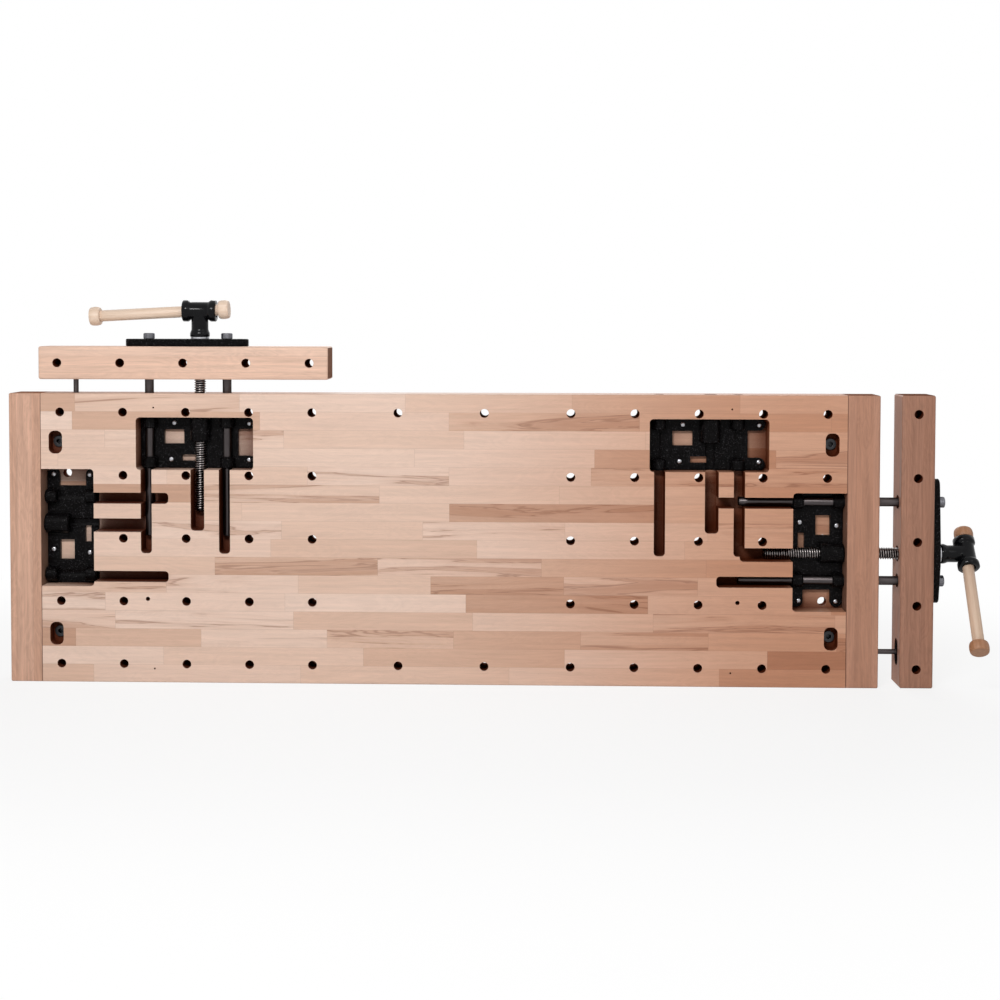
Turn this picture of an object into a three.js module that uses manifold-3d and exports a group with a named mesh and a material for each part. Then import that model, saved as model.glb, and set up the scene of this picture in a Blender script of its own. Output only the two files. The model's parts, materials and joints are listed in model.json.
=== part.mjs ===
// Woodworking bench top with two fitted screw vises and two spare vise stations.
// It is drawn lying face down, in millimetres: x runs along the bench, y from the rear edge
// to the front edge, z from the working face up to the underside.
// The last group stands it on its rear edge, with the underside facing -Y and +Z up.
import * as THREE from "three";
import { mergeVertices } from "three/addons/utils/BufferGeometryUtils.js";
import Module from "manifold-3d";

const wasm = await Module();
wasm.setup();

// Bench top
const TOP_LENGTH = 1850;
const TOP_WIDTH = 620;
const TOP_THICKNESS = 80;
const EDGE_CHAMFER = 2;
const CAP_WIDTH = 68;
const FIT_GAP = 0.3;

// Tongue on each end of the slab, housed in a groove of the end cap
const TONGUE_BASE = 28;
const TONGUE_THICKNESS = 24;
const TONGUE_LENGTH = 20;
const TONGUE_STOP = 30;
const TONGUE_POCKET_MARGIN = 6;

// Dog holes in the slab and in the jaws
const DOG_DIAMETER = 19;
const DOG_PITCH = 135;
const DOG_END_MARGIN = 110;
const DOG_ROWS = 5;
const DOG_COLUMNS_PER_END = 5;
const DOG_MIDDLE_SHARE = 1 / 3;

// Leg sockets with their threaded inserts, and small blind pilot holes
const SOCKET_END_MARGIN = 100;
const SOCKET_Y = 205.5;
const SOCKET_LENGTH = 49;
const SOCKET_WIDTH = 29;
const SOCKET_CORNER = 12;
const SOCKET_DEPTH = 30;
const INSERT_FLANGE_DIAMETER = 24;
const INSERT_FLANGE_HEIGHT = 4;
const INSERT_BODY_DIAMETER = 16;
const INSERT_BODY_LENGTH = 14;
const INSERT_KEY_ACROSS_FLATS = 10;
const INSERT_KEY_DEPTH = 12;
const SMALL_PILOT_DIAMETER = 4;
const SMALL_PILOT_DEPTH = 25;
const SMALL_PILOT_END_MARGIN = 311;
const SMALL_PILOT_Y = 280;
const LARGE_PILOT_DIAMETER = 9.5;
const LARGE_PILOT_DEPTH = 40;
const LARGE_PILOT_END_MARGIN = 297;
const LARGE_PILOT_Y = -130;

// Vise stations: two on the front edge, one on each end
const FRONT_STATION_END_MARGIN = 378.5;
const END_STATION_Y = 2;
const FRONT_SETBACK = 51;
const AXIS_HEIGHT = 44;
const ROD_OFFSET = 84;
const SCREW_OFFSET = 26;

// Pockets, grooves and bores milled for each station
const POCKET_FLOOR = 26;
const POCKET_LEFT = -105.5;
const POCKET_RIGHT = 146;
const POCKET_DEPTH_FRONT = 112;
const POCKET_DEPTH_END = 113.5;
const CUTTER_RADIUS = 8;
const ROD_GROOVE_WIDTH = 23.5;
const ROD_GROOVE_FLOOR = 33;
const ROD_GROOVE_SPARE = 4;
const SCREW_GROOVE_WIDTH = 29;
const SCREW_GROOVE_FLOOR = 30.5;
const SCREW_GROOVE_SPARE = 9;
const ROD_WALL_BORE = 22;
const SCREW_WALL_BORE = 28;

// Cast nut bracket
const BRACKET_CLEARANCE = 1;
const BRACKET_DEPTH = 110;
const BRACKET_LEFT = -104.5;
const BRACKET_RIGHT = 106;
const BRACKET_CORNER = 7;
const BRACKET_BASE = 10;
const LUG_REACH = 143;
const LUG_WIDTH = 26;
const WINDOW_LEFT = -54;
const WINDOW_RIGHT = -11;
const WINDOW_OUTER = -27;
const WINDOW_INNER = -58;
const SLOT_LEFT = -16;
const SLOT_RIGHT = 19;
const SLOT_OUTER = -81.5;
const SLOT_INNER = -95;
const ROD_BOSS_RADIUS = 16;
const ROD_BOSS_LENGTH = 24;
const NUT_BOSS_RADIUS = 22;
const NUT_BOSS_LENGTH = 52;
const BOSS_CHAMFER = 2.5;
const ROD_RUNNING_BORE = 19.8;
const NUT_RUNNING_BORE = 26;

// Bracket screws, named by corner of the bracket
const SCREW_OUTER_LEFT = new THREE.Vector2(-32, -13);
const SCREW_OUTER_RIGHT = new THREE.Vector2(131, -14);
const SCREW_INNER_LEFT = new THREE.Vector2(-39, -92);
const SCREW_INNER_RIGHT = new THREE.Vector2(130, -93);
const WOOD_SCREW_HEAD_DIAMETER = 10.5;
const WOOD_SCREW_HEAD_EDGE = 1.6;
const WOOD_SCREW_HEAD_HEIGHT = 4;
const WOOD_SCREW_SHANK_DIAMETER = 5;
const WOOD_SCREW_PILOT_DIAMETER = 5.6;
const WOOD_SCREW_TIP_HEIGHT = 10;
const WOOD_SCREW_TIP_TAPER = 4;

// Wooden jaw
const JAW_LENGTH = 620;
const JAW_THICKNESS = 70;
const JAW_CHAMFER = 2.5;
const JAW_DOG_END_MARGIN = 40;
const JAW_ROD_BORE = 30;
const JAW_SCREW_BORE = 34;
const JAW_COLLAR_RECESS = 44;
const JAW_COLLAR_DEPTH = 14;

// Anti-rack guide pin
const PIN_END_MARGIN = 71;
const PIN_DIAMETER = 11;
const PIN_REACH = 158;
const PIN_TIP = 2;
const PIN_BORE = 12.5;
const PIN_BORE_SPARE = 2;
const PIN_FLANGE_LENGTH = 57;
const PIN_FLANGE_HEIGHT = 27;
const PIN_FLANGE_THICKNESS = 6;

// Guide rods and the bolts that hold them to the face plate
const ROD_DIAMETER = 19;
const ROD_LENGTH = 408;
const ROD_TIP = 2;
const ROD_TAPPED_BORE = 12.6;
const ROD_TAPPED_DEPTH = 34;
const BOLT_ACROSS_FLATS = 22;
const BOLT_HEAD_HEIGHT = 12;
const BOLT_HEAD_CHAMFER = 1.2;
const BOLT_SHANK_DIAMETER = 12;
const BOLT_SHANK_LENGTH = 46;
const BOLT_TURN_STEP = Math.PI / 6;

// Face plate, outside the jaw
const PLATE_THICKNESS = 16;
const PLATE_LEFT = -134;
const PLATE_RIGHT = 131;
const PLATE_END_RADIUS = 15;
const PLATE_SWELL = 28;
const PLATE_SWELL_HALF = 22;
const PLATE_CHAMFER = 1.5;
const PLATE_JOURNAL_BORE = 20.8;
const PLATE_BOLT_BORE = 13;
const PLATE_SCREW_OFFSET = 112;
const PLATE_SCREW_HEAD_DIAMETER = 11;
const PLATE_SCREW_HEAD_DEPTH = 3.2;
const PLATE_SCREW_LENGTH = 52;

// Lead screw with its collar, washer and hub
const LEAD_SCREW_DIAMETER = 25;
const LEAD_SCREW_REACH = 354;
const LEAD_SCREW_TIP = 3;
const JOURNAL_DIAMETER = 20;
const JOURNAL_END = 49.5;
const JOURNAL_BORE = 20.8;
const COLLAR_DIAMETER = 40;
const COLLAR_LENGTH = 12;
const WASHER_DIAMETER = 40;
const WASHER_THICKNESS = 4;
const HUB_CENTRE = 76;
const HUB_LENGTH = 71;
const HUB_RADIUS = 19;
const HUB_RIM_RADIUS = 23;
const HUB_RIM_WIDTH = 10;
const HUB_RIM_TAPER = 7;
const HUB_NECK_RADIUS = 18;
const HUB_FOOT_RADIUS = 21;
const HUB_FOOT_LENGTH = 8;
const HUB_FOOT_TAPER = 8;
const HUB_BORE_END = 50;

// Handle
const HANDLE_DIAMETER = 24;
const HANDLE_OVERALL = 300;
const HANDLE_DROOP = THREE.MathUtils.degToRad(3);
const HANDLE_PLAY = 0.9;
const KNOB_LENGTH = 22;
const KNOB_RADIUS = 20.25;
const KNOB_SHOULDER_RADIUS = 19;
const KNOB_SHOULDER_STEP = 4.5;
const KNOB_END_RADIUS = 15.5;
const KNOB_BORE = 24.6;
const KNOB_BORE_DEPTH = 14;

// How each fitted vise stands
const FRONT_OPENING = 30;
const FRONT_JAW_SHIFT = -4;
const FRONT_HANDLE_SLID = 86.5;
const FRONT_HANDLE_TURN = Math.PI;
const END_OPENING = 45;
const END_JAW_SHIFT = -2.5;
const END_HANDLE_SLID = 90;
const END_HANDLE_ROLL = THREE.MathUtils.degToRad(-42);

// Facets
const HOLE_SEGMENTS = 16;
const SHAFT_SEGMENTS = 16;
const BORE_SEGMENTS = 24;
const SMALL_SEGMENTS = 8;
const ARC_STEPS = 3;
const LUG_STEPS = 5;
const WELD = 1e-4;
const OVERCUT = 5;

// Working colours for the drawing
const BEECH = { color: 0xd6a98a, roughness: 0.6 };
const BEECH_PALE = { color: 0xe3c29f, roughness: 0.5 };
const IRON = { color: 0x17171a, roughness: 0.6, metalness: 0.4 };
const STEEL = { color: 0x4a4240, roughness: 0.35, metalness: 0.9 };
const ZINC = { color: 0xb9bcc4, roughness: 0.3, metalness: 0.9 };

const HALF_LENGTH = TOP_LENGTH / 2;
const HALF_WIDTH = TOP_WIDTH / 2;
const JOINT_X = HALF_LENGTH - CAP_WIDTH;
const FRONT_STATION_X = HALF_LENGTH - FRONT_STATION_END_MARGIN;
const SOCKET_X = HALF_LENGTH - SOCKET_END_MARGIN;
const SMALL_PILOT_X = HALF_LENGTH - SMALL_PILOT_END_MARGIN;
const LARGE_PILOT_X = HALF_LENGTH - LARGE_PILOT_END_MARGIN;
const BASE_TOP = POCKET_FLOOR + FIT_GAP + BRACKET_BASE;
const SOCKET_FLOOR = TOP_THICKNESS - SOCKET_DEPTH;

// Grooves and bores let each rod, screw and pin run in until its jaw is shut
const ROD_GROOVE_REACH = ROD_LENGTH - JAW_THICKNESS + ROD_GROOVE_SPARE;
const SCREW_GROOVE_REACH = LEAD_SCREW_REACH - JAW_THICKNESS + SCREW_GROOVE_SPARE;
const PIN_BORE_DEPTH = PIN_REACH + PIN_BORE_SPARE;
const PIN_OFFSET = JAW_LENGTH / 2 - PIN_END_MARGIN;
const JAW_DOG_PITCH = (JAW_LENGTH - 2 * JAW_DOG_END_MARGIN) / (DOG_ROWS - 1);
const HANDLE_BORE = HANDLE_DIAMETER + HUB_LENGTH * Math.tan(HANDLE_DROOP) + HANDLE_PLAY;

// Makes a closed solid from a three.js geometry, moved first when a matrix is given.
function solid(geometry, matrix = new THREE.Matrix4()) {
  const bare = geometry.clone().applyMatrix4(matrix);
  bare.deleteAttribute("normal");
  bare.deleteAttribute("uv");
  const welded = mergeVertices(bare, WELD);
  const triVerts = new Uint32Array(welded.index.array);
  const vertProperties = new Float32Array(welded.attributes.position.array);
  const made = new wasm.Manifold(new wasm.Mesh({ numProp: 3, vertProperties, triVerts }));
  if (made.volume() > 0) {
    return made;
  }
  return new wasm.Manifold(
    new wasm.Mesh({ numProp: 3, vertProperties, triVerts: triVerts.reverse() }),
  );
}

// Joins a list of solids into one.
function joined(list) {
  return list.reduce((sum, item) => sum.add(item));
}

// Takes a list of solids away from one.
function cut(body, list) {
  return body.subtract(joined(list));
}

function named(name, made, look) {
  const data = made.getMesh();
  const geometry = new THREE.BufferGeometry();
  geometry.setAttribute("position", new THREE.BufferAttribute(data.vertProperties, 3));
  geometry.setIndex(new THREE.BufferAttribute(data.triVerts, 1));
  geometry.computeVertexNormals();
  const mesh = new THREE.Mesh(geometry, new THREE.MeshStandardMaterial(look));
  mesh.name = name;
  return mesh;
}

function box(x0, x1, y0, y1, z0, z1) {
  const geometry = new THREE.BoxGeometry(x1 - x0, y1 - y0, z1 - z0);
  return geometry.translate((x0 + x1) / 2, (y0 + y1) / 2, (z0 + z1) / 2);
}

// A block centred on x and y, standing on z = 0, with every edge chamfered.
function chamferedBlock(sizeX, sizeY, sizeZ, chamfer) {
  const x = sizeX / 2 - chamfer;
  const y = sizeY / 2 - chamfer;
  const nick = chamfer / 2;
  const shape = new THREE.Shape();
  shape.moveTo(-x + nick, -y);
  shape.lineTo(x - nick, -y);
  shape.lineTo(x, -y + nick);
  shape.lineTo(x, y - nick);
  shape.lineTo(x - nick, y);
  shape.lineTo(-x + nick, y);
  shape.lineTo(-x, y - nick);
  shape.lineTo(-x, -y + nick);
  const geometry = new THREE.ExtrudeGeometry(shape, {
    depth: sizeZ - 2 * chamfer,
    bevelEnabled: true,
    bevelThickness: chamfer,
    bevelSize: chamfer,
    bevelSegments: 1,
  });
  return geometry.translate(0, 0, chamfer);
}

// A flat prism from a shape, from z0 to z1.
function prism(shape, z0, z1, steps = ARC_STEPS) {
  const options = { depth: z1 - z0, bevelEnabled: false, curveSegments: steps };
  return new THREE.ExtrudeGeometry(shape, options).translate(0, 0, z0);
}

function roundedRectangle(x0, x1, y0, y1, r) {
  const shape = new THREE.Shape();
  shape.moveTo(x0 + r, y0);
  shape.lineTo(x1 - r, y0);
  shape.absarc(x1 - r, y0 + r, r, -Math.PI / 2, 0, false);
  shape.lineTo(x1, y1 - r);
  shape.absarc(x1 - r, y1 - r, r, 0, Math.PI / 2, false);
  shape.lineTo(x0 + r, y1);
  shape.absarc(x0 + r, y1 - r, r, Math.PI / 2, Math.PI, false);
  shape.lineTo(x0, y0 + r);
  shape.absarc(x0 + r, y0 + r, r, Math.PI, Math.PI + Math.PI / 2, false);
  return shape;
}

// Round bars: along z at (x, y), and along y at (x, z).
function upright(x, y, diameter, z0, z1, segments = HOLE_SEGMENTS) {
  const geometry = new THREE.CylinderGeometry(diameter / 2, diameter / 2, z1 - z0, segments);
  return geometry.rotateX(Math.PI / 2).translate(x, y, (z0 + z1) / 2);
}

function along(x, z, diameter, y0, y1, segments = SHAFT_SEGMENTS) {
  const geometry = new THREE.CylinderGeometry(diameter / 2, diameter / 2, y1 - y0, segments);
  return geometry.translate(x, (y0 + y1) / 2, z);
}

// A turned body about the y axis from radius and height pairs.
function turned(pairs, segments = SHAFT_SEGMENTS) {
  const points = pairs.map((pair) => new THREE.Vector2(pair[0], pair[1]));
  return new THREE.LatheGeometry(points, segments);
}

// Stations, each with u along its edge, v pointing outwards and z as in the bench.
function station(name, x, y, turn, setback, depth) {
  const group = new THREE.Group();
  group.name = name;
  group.position.set(x, y, 0);
  group.rotation.z = turn;
  group.updateMatrix();
  return { name, group, setback, depth };
}

const QUARTER = Math.PI / 2;
const frontLeft = station(
  "front_left", -FRONT_STATION_X, HALF_WIDTH, 0, FRONT_SETBACK, POCKET_DEPTH_FRONT,
);
const frontRight = station(
  "front_right", FRONT_STATION_X, HALF_WIDTH, 0, FRONT_SETBACK, POCKET_DEPTH_FRONT,
);
const leftEnd = station(
  "left_end", -HALF_LENGTH, END_STATION_Y, QUARTER, CAP_WIDTH, POCKET_DEPTH_END,
);
const rightEnd = station(
  "right_end", HALF_LENGTH, -END_STATION_Y, -QUARTER, CAP_WIDTH, POCKET_DEPTH_END,
);
const stations = [frontLeft, frontRight, leftEnd, rightEnd];

const SCREW_PLACES = [
  SCREW_OUTER_LEFT, SCREW_OUTER_RIGHT, SCREW_INNER_LEFT, SCREW_INNER_RIGHT,
];

const fitted = [
  {
    name: "front",
    at: frontLeft,
    opening: FRONT_OPENING,
    shift: FRONT_JAW_SHIFT,
    pinSide: -1,
    slid: FRONT_HANDLE_SLID,
    turn: FRONT_HANDLE_TURN,
    roll: 0,
  },
  {
    name: "end",
    at: rightEnd,
    opening: END_OPENING,
    shift: END_JAW_SHIFT,
    pinSide: 1,
    slid: END_HANDLE_SLID,
    turn: 0,
    roll: END_HANDLE_ROLL,
  },
];

// Everything a station removes from the bench, in station coordinates.
function stationCuts(place) {
  const top = TOP_THICKNESS + OVERCUT;
  const outer = -place.setback;
  const inner = outer - place.depth;
  const onFront = place.setback === FRONT_SETBACK;
  const pocketOuter = onFront ? outer : outer + 2 * CUTTER_RADIUS;
  const pocket = roundedRectangle(POCKET_LEFT, POCKET_RIGHT, inner, pocketOuter, CUTTER_RADIUS);
  const pocketCut = prism(pocket, POCKET_FLOOR, top);
  const groove = (u, width, reach, floor) => {
    const left = u - width / 2;
    const right = u + width / 2;
    const shape = roundedRectangle(left, right, -reach, inner + 2 * CUTTER_RADIUS, CUTTER_RADIUS);
    return prism(shape, floor, top);
  };
  const pilots = SCREW_PLACES.map((spot) => {
    const tip = WOOD_SCREW_TIP_HEIGHT - FIT_GAP;
    const v = outer - BRACKET_CLEARANCE + spot.y;
    const end = POCKET_FLOOR + OVERCUT;
    return upright(spot.x, v, WOOD_SCREW_PILOT_DIAMETER, tip, end, SMALL_SEGMENTS);
  });
  const wall = outer - OVERCUT;
  return {
    pocket: [
      pocketCut,
      groove(-ROD_OFFSET, ROD_GROOVE_WIDTH, ROD_GROOVE_REACH, ROD_GROOVE_FLOOR),
      groove(ROD_OFFSET, ROD_GROOVE_WIDTH, ROD_GROOVE_REACH, ROD_GROOVE_FLOOR),
      groove(SCREW_OFFSET, SCREW_GROOVE_WIDTH, SCREW_GROOVE_REACH, SCREW_GROOVE_FLOOR),
      ...pilots,
    ],
    bores: [
      along(-ROD_OFFSET, AXIS_HEIGHT, ROD_WALL_BORE, wall, OVERCUT),
      along(ROD_OFFSET, AXIS_HEIGHT, ROD_WALL_BORE, wall, OVERCUT),
      along(SCREW_OFFSET, AXIS_HEIGHT, SCREW_WALL_BORE, wall, OVERCUT),
    ],
  };
}

function placed(place, geometries) {
  return geometries.map((geometry) => solid(geometry, place.group.matrix));
}

// Bore in the bench for a vise's guide pin.
function pinBore(vise) {
  const u = vise.shift + vise.pinSide * PIN_OFFSET;
  const bore = along(u, AXIS_HEIGHT, PIN_BORE, -PIN_BORE_DEPTH, OVERCUT);
  return solid(bore, vise.at.group.matrix);
}

// Slab and end caps
const stock = solid(chamferedBlock(TOP_LENGTH, TOP_WIDTH, TOP_THICKNESS, EDGE_CHAMFER));
const slabReach = JOINT_X - FIT_GAP;

function between(x0, x1) {
  const y = HALF_WIDTH + OVERCUT;
  return stock.intersect(solid(box(x0, x1, -y, y, -OVERCUT, TOP_THICKNESS + OVERCUT)));
}

// The tongue of one end, left out beside the pocket; spare widens it into the groove.
function tongue(side, spare) {
  const stop = HALF_WIDTH - TONGUE_STOP + spare;
  const root = slabReach - OVERCUT;
  const tip = JOINT_X + TONGUE_LENGTH + spare;
  const z0 = TONGUE_BASE - spare;
  const z1 = TONGUE_BASE + TONGUE_THICKNESS + spare;
  const margin = TONGUE_POCKET_MARGIN - spare;
  const pocketLow = -END_STATION_Y - POCKET_RIGHT - margin;
  const pocketHigh = -END_STATION_Y - POCKET_LEFT + margin;
  const low = box(root, tip, -stop, pocketLow, z0, z1);
  const high = box(root, tip, pocketHigh, stop, z0, z1);
  const turn = new THREE.Matrix4().makeRotationZ(side > 0 ? 0 : Math.PI);
  return [solid(low, turn), solid(high, turn)];
}

function dogHole(x, y) {
  return solid(upright(x, y, DOG_DIAMETER, -OVERCUT, TOP_THICKNESS + OVERCUT));
}

function dogHoles() {
  const holes = [];
  const outermost = HALF_LENGTH - DOG_END_MARGIN;
  const middleRow = (DOG_ROWS - 1) / 2;
  for (let row = 0; row < DOG_ROWS; row += 1) {
    const y = (row - middleRow) * DOG_PITCH;
    for (let column = 0; column < DOG_COLUMNS_PER_END; column += 1) {
      const x = outermost - column * DOG_PITCH;
      holes.push(dogHole(x, y), dogHole(-x, y));
    }
  }
  const innermost = outermost - (DOG_COLUMNS_PER_END - 1) * DOG_PITCH;
  const middle = innermost * DOG_MIDDLE_SHARE;
  const edgeRow = middleRow * DOG_PITCH;
  for (const y of [edgeRow, -edgeRow]) {
    holes.push(dogHole(middle, y), dogHole(-middle, y));
  }
  return holes;
}

function socketCuts(x, y) {
  const half = SOCKET_WIDTH / 2;
  const reach = SOCKET_LENGTH / 2;
  const shape = roundedRectangle(x - half, x + half, y - reach, y + reach, SOCKET_CORNER);
  const bodyHole = INSERT_BODY_DIAMETER + 2 * FIT_GAP;
  const bodyEnd = SOCKET_FLOOR - INSERT_BODY_LENGTH - FIT_GAP;
  return [
    solid(prism(shape, SOCKET_FLOOR, TOP_THICKNESS + OVERCUT)),
    solid(upright(x, y, bodyHole, bodyEnd, SOCKET_FLOOR + OVERCUT)),
  ];
}

function blindPilot(x, y, diameter, depth) {
  const top = TOP_THICKNESS + OVERCUT;
  return solid(upright(x, y, diameter, TOP_THICKNESS - depth, top, SMALL_SEGMENTS));
}

const slabCuts = [...dogHoles(), ...fitted.map(pinBore)];
for (const place of stations) {
  const cuts = stationCuts(place);
  slabCuts.push(...placed(place, cuts.pocket), ...placed(place, cuts.bores));
}
const sides = [-1, 1];
const socketPlaces = [];
for (const sx of sides) {
  slabCuts.push(blindPilot(sx * LARGE_PILOT_X, LARGE_PILOT_Y, LARGE_PILOT_DIAMETER, LARGE_PILOT_DEPTH));
  for (const sy of sides) {
    socketPlaces.push(new THREE.Vector2(sx * SOCKET_X, sy * SOCKET_Y));
    slabCuts.push(...socketCuts(sx * SOCKET_X, sy * SOCKET_Y));
    slabCuts.push(
      blindPilot(sx * SMALL_PILOT_X, sy * SMALL_PILOT_Y, SMALL_PILOT_DIAMETER, SMALL_PILOT_DEPTH),
    );
  }
}

// The pocket cuts stop at the slab's own end, so the tongues are joined on afterwards.
const tongues = [...tongue(1, 0), ...tongue(-1, 0)];
const endBores = [...placed(rightEnd, stationCuts(rightEnd).bores), pinBore(fitted[1])];
const slabBody = cut(joined([between(-slabReach, slabReach), ...tongues]), [
  ...slabCuts,
  ...endBores,
]);
const leftCap = cut(between(-HALF_LENGTH, -JOINT_X), [
  ...tongue(-1, FIT_GAP),
  ...placed(leftEnd, stationCuts(leftEnd).bores),
]);
const rightCap = cut(between(JOINT_X, HALF_LENGTH), [...tongue(1, FIT_GAP), ...endBores]);

const bench = new THREE.Group();
bench.add(named("top_slab", slabBody, BEECH));
bench.add(named("left_end_cap", leftCap, BEECH));
bench.add(named("right_end_cap", rightCap, BEECH));

// Leg inserts on the socket floors
function insertSolid() {
  const body = INSERT_BODY_DIAMETER / 2;
  const flange = INSERT_FLANGE_DIAMETER / 2;
  const seat = SOCKET_FLOOR + FIT_GAP;
  const top = seat + INSERT_FLANGE_HEIGHT;
  const foot = SOCKET_FLOOR - INSERT_BODY_LENGTH;
  const profile = turned(
    [[0, foot], [body, foot], [body, seat], [flange, seat], [flange, top], [0, top]],
    HOLE_SEGMENTS,
  ).rotateX(Math.PI / 2);
  const keyRadius = INSERT_KEY_ACROSS_FLATS / Math.sqrt(3);
  const key = new THREE.CylinderGeometry(keyRadius, keyRadius, INSERT_KEY_DEPTH + OVERCUT, 6);
  key.rotateX(Math.PI / 2).translate(0, 0, top + (OVERCUT - INSERT_KEY_DEPTH) / 2);
  return cut(solid(profile), [solid(key)]);
}

const insert = insertSolid();
socketPlaces.forEach((spot, index) => {
  const mesh = named("leg_insert_" + (index + 1), insert, ZINC);
  mesh.position.set(spot.x, spot.y, 0);
  bench.add(mesh);
});

// Nut bracket in its own frame: u as in the station, v from its outer edge.
function bracketOutline() {
  const lug = LUG_WIDTH / 2;
  const arc = LUG_REACH - lug;
  const r = BRACKET_CORNER;
  const back = -BRACKET_DEPTH;
  const shape = new THREE.Shape();
  shape.moveTo(BRACKET_LEFT + r, back);
  shape.lineTo(arc, back);
  shape.absarc(arc, back + lug, lug, -Math.PI / 2, Math.PI / 2, false);
  shape.lineTo(BRACKET_RIGHT, back + LUG_WIDTH);
  shape.lineTo(BRACKET_RIGHT, -LUG_WIDTH);
  shape.lineTo(arc, -LUG_WIDTH);
  shape.absarc(arc, -lug, lug, -Math.PI / 2, Math.PI / 2, false);
  shape.lineTo(BRACKET_LEFT + r, 0);
  shape.absarc(BRACKET_LEFT + r, -r, r, Math.PI / 2, Math.PI, false);
  shape.lineTo(BRACKET_LEFT, back + r);
  shape.absarc(BRACKET_LEFT + r, back + r, r, Math.PI, Math.PI + Math.PI / 2, false);
  return shape;
}

function boss(u, radius, v0, v1) {
  const inside = radius - BOSS_CHAMFER;
  const pairs = [
    [0, v0], [inside, v0], [radius, v0 + BOSS_CHAMFER],
    [radius, v1 - BOSS_CHAMFER], [inside, v1], [0, v1],
  ];
  return solid(turned(pairs).translate(u, 0, AXIS_HEIGHT));
}

function bracketSolid() {
  const foot = POCKET_FLOOR + FIT_GAP;
  const back = -BRACKET_DEPTH;
  const parts = [solid(prism(bracketOutline(), foot, BASE_TOP, LUG_STEPS))];
  for (const side of sides) {
    parts.push(boss(side * ROD_OFFSET, ROD_BOSS_RADIUS, -ROD_BOSS_LENGTH, 0));
    parts.push(boss(side * ROD_OFFSET, ROD_BOSS_RADIUS, back, back + ROD_BOSS_LENGTH));
  }
  parts.push(boss(SCREW_OFFSET, NUT_BOSS_RADIUS, -NUT_BOSS_LENGTH, 0));
  const low = back - OVERCUT;
  const cuts = [
    solid(box(POCKET_LEFT, POCKET_RIGHT, low, OVERCUT, 0, foot)),
    solid(box(WINDOW_LEFT, WINDOW_RIGHT, WINDOW_INNER, WINDOW_OUTER, 0, TOP_THICKNESS)),
    solid(box(SLOT_LEFT, SLOT_RIGHT, SLOT_INNER, SLOT_OUTER, 0, TOP_THICKNESS)),
    solid(along(-ROD_OFFSET, AXIS_HEIGHT, ROD_RUNNING_BORE, low, OVERCUT)),
    solid(along(ROD_OFFSET, AXIS_HEIGHT, ROD_RUNNING_BORE, low, OVERCUT)),
    solid(along(SCREW_OFFSET, AXIS_HEIGHT, NUT_RUNNING_BORE, low, OVERCUT)),
  ];
  for (const spot of SCREW_PLACES) {
    const hole = upright(
      spot.x, spot.y, WOOD_SCREW_PILOT_DIAMETER, 0, TOP_THICKNESS, SMALL_SEGMENTS,
    );
    cuts.push(solid(hole));
  }
  return cut(joined(parts), cuts);
}

// A pan-head wood screw standing on the bracket base.
function woodScrewSolid() {
  const shank = WOOD_SCREW_SHANK_DIAMETER / 2;
  const head = WOOD_SCREW_HEAD_DIAMETER / 2;
  const seat = BASE_TOP + FIT_GAP;
  const edge = seat + WOOD_SCREW_HEAD_EDGE;
  const top = seat + WOOD_SCREW_HEAD_HEIGHT;
  const shoulder = head * Math.SQRT1_2;
  const dome = edge + (top - edge) * Math.SQRT1_2;
  const tip = WOOD_SCREW_TIP_HEIGHT;
  const pairs = [
    [0, tip], [shank, tip + WOOD_SCREW_TIP_TAPER], [shank, seat], [head, seat],
    [head, edge], [shoulder, dome], [0, top],
  ];
  return solid(turned(pairs, SMALL_SEGMENTS).rotateX(Math.PI / 2));
}

const bracket = bracketSolid();
const woodScrew = woodScrewSolid();
for (const place of stations) {
  const seat = new THREE.Group();
  seat.position.y = -place.setback - BRACKET_CLEARANCE;
  seat.add(named("bracket_" + place.name, bracket, IRON));
  SCREW_PLACES.forEach((spot, index) => {
    const mesh = named("bracket_screw_" + place.name + "_" + (index + 1), woodScrew, ZINC);
    mesh.position.set(spot.x, spot.y, 0);
    seat.add(mesh);
  });
  place.group.add(seat);
  bench.add(place.group);
}

// Vise parts in the vise frame: v = 0 on the outer face of the jaw.
function pinFlange(spare, v0, v1) {
  const r = PIN_FLANGE_HEIGHT / 2 + spare;
  const reach = PIN_FLANGE_LENGTH / 2 - PIN_FLANGE_HEIGHT / 2;
  const shape = new THREE.Shape();
  shape.absarc(reach, 0, r, -Math.PI / 2, Math.PI / 2, false);
  shape.absarc(-reach, 0, r, Math.PI / 2, Math.PI + Math.PI / 2, false);
  return prism(shape, -v1, -v0, LUG_STEPS).rotateX(Math.PI / 2).translate(0, 0, AXIS_HEIGHT);
}

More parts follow.
